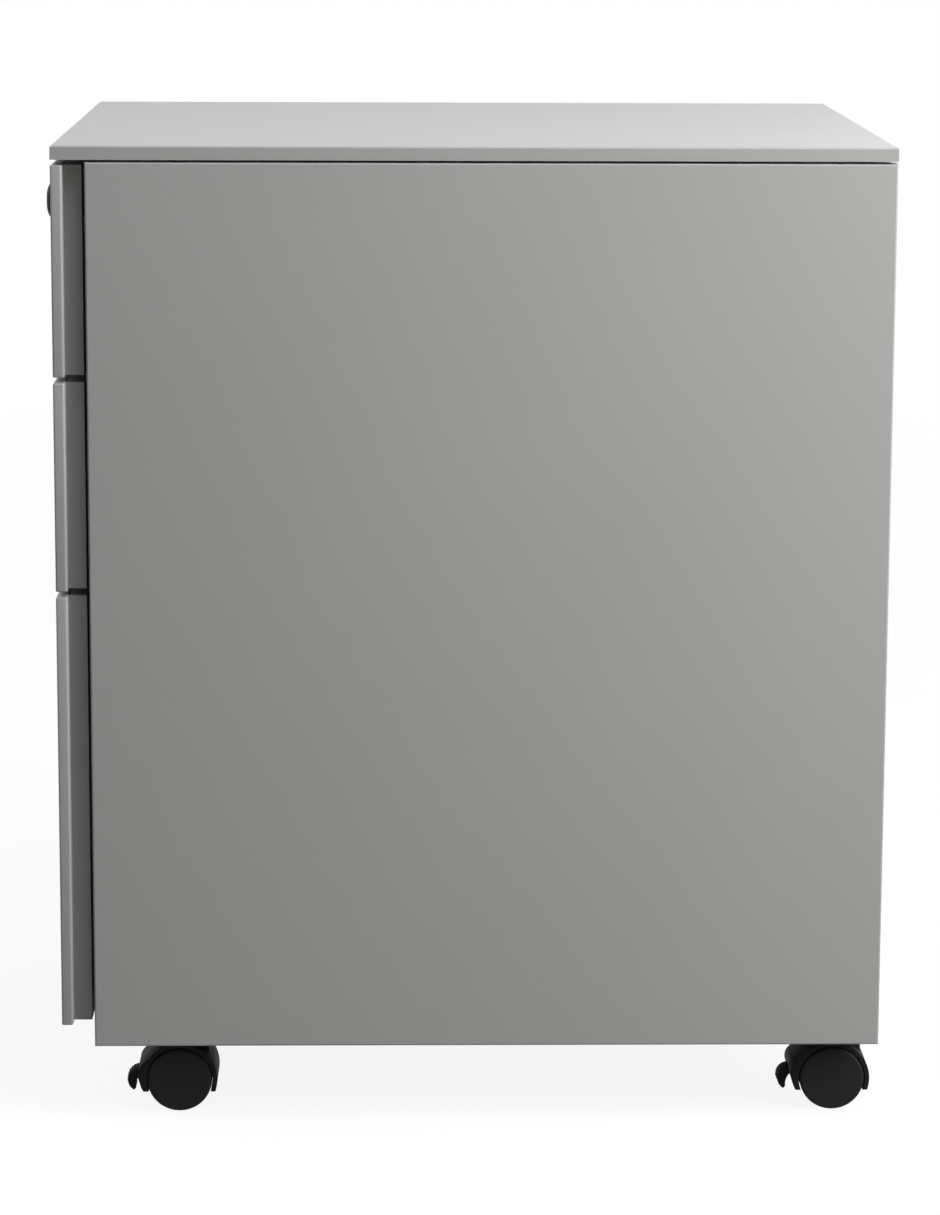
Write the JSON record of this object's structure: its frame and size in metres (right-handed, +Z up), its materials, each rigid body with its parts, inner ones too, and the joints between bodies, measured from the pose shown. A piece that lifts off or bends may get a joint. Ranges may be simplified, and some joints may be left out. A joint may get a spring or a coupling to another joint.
{
  "type": "mobile filing cabinet",
  "caption": "Mobile steel drawer pedestal: shallow drawers over a file drawer on telescopic slides, with side finger grips, a central lock and braked twin-wheel castors.",
  "frame": {"origin": "on the floor, at the centre of the outline seen from above", "axes": "+Z up, -Y towards the user at the drawer fronts, +X to the user's right, where the lock is"},
  "size_m": [0.39, 0.5034, 0.6],
  "materials": {
    "case_paint": "satin powder coat",
    "drawer_paint": "satin powder coat",
    "zinc_steel": "zinc plated",
    "lock_black": "semi-gloss",
    "lock_nickel": "nickel",
    "black_plastic": "moulded",
    "castor_black": "moulded, fine grain",
    "wheel_black": "moulded, satin"
  },
  "bodies": {
    "cabinet": {"side_panel_left": "case_paint", "side_panel_right": "case_paint", "back_panel": "case_paint", "base_pan": "case_paint", "top_panel": "case_paint", "top_front_rail": "zinc_steel", "top_rear_rail": "zinc_steel", "posts": "zinc_steel", "top_pads": "black_plastic", "lock_guides": "black_plastic", "castor_stems": "zinc_steel", "slide_outer_upper": "zinc_steel", "slide_outer_middle": "zinc_steel", "slide_outer_lower": "zinc_steel"},
    "drawer_upper": {"front_upper": "drawer_paint", "liner_upper": "drawer_paint", "tray_upper": "drawer_paint", "slide_inner_upper": "zinc_steel", "lock_lug_upper": "zinc_steel", "lock_housing": "lock_black"},
    "drawer_middle": {"front_middle": "drawer_paint", "liner_middle": "drawer_paint", "tray_middle": "drawer_paint", "slide_inner_middle": "zinc_steel", "lock_lug_middle": "zinc_steel"},
    "drawer_lower": {"front_lower": "drawer_paint", "liner_lower": "drawer_paint", "tray_lower": "drawer_paint", "slide_inner_lower": "zinc_steel", "lock_lug_lower": "zinc_steel", "file_rails": "zinc_steel"},
    "runner_upper": {"slide_middle_upper": "zinc_steel"},
    "runner_middle": {"slide_middle_middle": "zinc_steel"},
    "runner_lower": {"slide_middle_lower": "zinc_steel"},
    "key_plug": {"lock_plug": "lock_nickel", "lock_crank": "zinc_steel"},
    "lock_bar": {"lock_bar": "zinc_steel"},
    "castor_front_left": {"castor_housing_front_left": "castor_black"},
    "brake_front_left": {"brake_pedal_front_left": "castor_black"},
    "wheels_front_left": {"castor_wheels_front_left": "wheel_black"},
    "castor_front_right": {"castor_housing_front_right": "castor_black"},
    "brake_front_right": {"brake_pedal_front_right": "castor_black"},
    "wheels_front_right": {"castor_wheels_front_right": "wheel_black"},
    "castor_rear_left": {"castor_housing_rear_left": "castor_black"},
    "brake_rear_left": {"brake_pedal_rear_left": "castor_black"},
    "wheels_rear_left": {"castor_wheels_rear_left": "wheel_black"},
    "castor_rear_right": {"castor_housing_rear_right": "castor_black"},
    "brake_rear_right": {"brake_pedal_rear_right": "castor_black"},
    "wheels_rear_right": {"castor_wheels_rear_right": "wheel_black"}
  },
  "joints": [
    {"name": "drawer_upper_slide", "type": "slide", "parent": "cabinet", "child": "drawer_upper", "axis": [0, -1, 0], "range_m": [0, 0.4]},
    {"name": "drawer_middle_slide", "type": "slide", "parent": "cabinet", "child": "drawer_middle", "axis": [0, -1, 0], "range_m": [0, 0.4]},
    {"name": "drawer_lower_slide", "type": "slide", "parent": "cabinet", "child": "drawer_lower", "axis": [0, -1, 0], "range_m": [0, 0.4]},
    {"name": "runner_upper_slide", "type": "slide", "parent": "cabinet", "child": "runner_upper", "axis": [0, -1, 0], "range_m": [0, 0.2]},
    {"name": "runner_middle_slide", "type": "slide", "parent": "cabinet", "child": "runner_middle", "axis": [0, -1, 0], "range_m": [0, 0.2]},
    {"name": "runner_lower_slide", "type": "slide", "parent": "cabinet", "child": "runner_lower", "axis": [0, -1, 0], "range_m": [0, 0.2]},
    {"name": "key_turn", "type": "hinge", "parent": "drawer_upper", "child": "key_plug", "pos_m": [0.172, -0.24825, 0.566], "axis": [0, -1, 0], "range_deg": [0, 90]},
    {"name": "lock_bar_lift", "type": "slide", "parent": "cabinet", "child": "lock_bar", "axis": [0, 0, 1], "range_m": [0, 0.00707]},
    {"name": "swivel_front_left", "type": "hinge", "parent": "cabinet", "child": "castor_front_left", "pos_m": [-0.152, -0.16925, 0.05], "axis": [0, 0, 1], "continuous": true},
    {"name": "pedal_front_left", "type": "hinge", "parent": "castor_front_left", "child": "brake_front_left", "pos_m": [-0.152, -0.20165, 0.0208], "axis": [1, 0, 0], "range_deg": [0, 15]},
    {"name": "wheels_front_left_roll", "type": "hinge", "parent": "castor_front_left", "child": "wheels_front_left", "pos_m": [-0.152, -0.17825, 0.02], "axis": [1, 0, 0], "continuous": true},
    {"name": "swivel_front_right", "type": "hinge", "parent": "cabinet", "child": "castor_front_right", "pos_m": [0.152, -0.16925, 0.05], "axis": [0, 0, 1], "continuous": true},
    {"name": "pedal_front_right", "type": "hinge", "parent": "castor_front_right", "child": "brake_front_right", "pos_m": [0.152, -0.20165, 0.0208], "axis": [1, 0, 0], "range_deg": [0, 15]},
    {"name": "wheels_front_right_roll", "type": "hinge", "parent": "castor_front_right", "child": "wheels_front_right", "pos_m": [0.152, -0.17825, 0.02], "axis": [1, 0, 0], "continuous": true},
    {"name": "swivel_rear_left", "type": "hinge", "parent": "cabinet", "child": "castor_rear_left", "pos_m": [-0.152, 0.23575, 0.05], "axis": [0, 0, 1], "continuous": true},
    {"name": "pedal_rear_left", "type": "hinge", "parent": "castor_rear_left", "child": "brake_rear_left", "pos_m": [-0.152, 0.20335, 0.0208], "axis": [1, 0, 0], "range_deg": [0, 15]},
    {"name": "wheels_rear_left_roll", "type": "hinge", "parent": "castor_rear_left", "child": "wheels_rear_left", "pos_m": [-0.152, 0.22675, 0.02], "axis": [1, 0, 0], "continuous": true},
    {"name": "swivel_rear_right", "type": "hinge", "parent": "cabinet", "child": "castor_rear_right", "pos_m": [0.152, 0.23575, 0.05], "axis": [0, 0, 1], "continuous": true},
    {"name": "pedal_rear_right", "type": "hinge", "parent": "castor_rear_right", "child": "brake_rear_right", "pos_m": [0.152, 0.20335, 0.0208], "axis": [1, 0, 0], "range_deg": [0, 15]},
    {"name": "wheels_rear_right_roll", "type": "hinge", "parent": "castor_rear_right", "child": "wheels_rear_right", "pos_m": [0.152, 0.22675, 0.02], "axis": [1, 0, 0], "continuous": true}
  ],
  "couplings": [
    {"joint": "runner_upper_slide", "follows": "drawer_upper_slide", "ratio": 0.5},
    {"joint": "runner_middle_slide", "follows": "drawer_middle_slide", "ratio": 0.5},
    {"joint": "runner_lower_slide", "follows": "drawer_lower_slide", "ratio": 0.5},
    {"joint": "key_turn", "follows": "lock_bar_lift", "rad_per_m": 222.14}
  ]
}
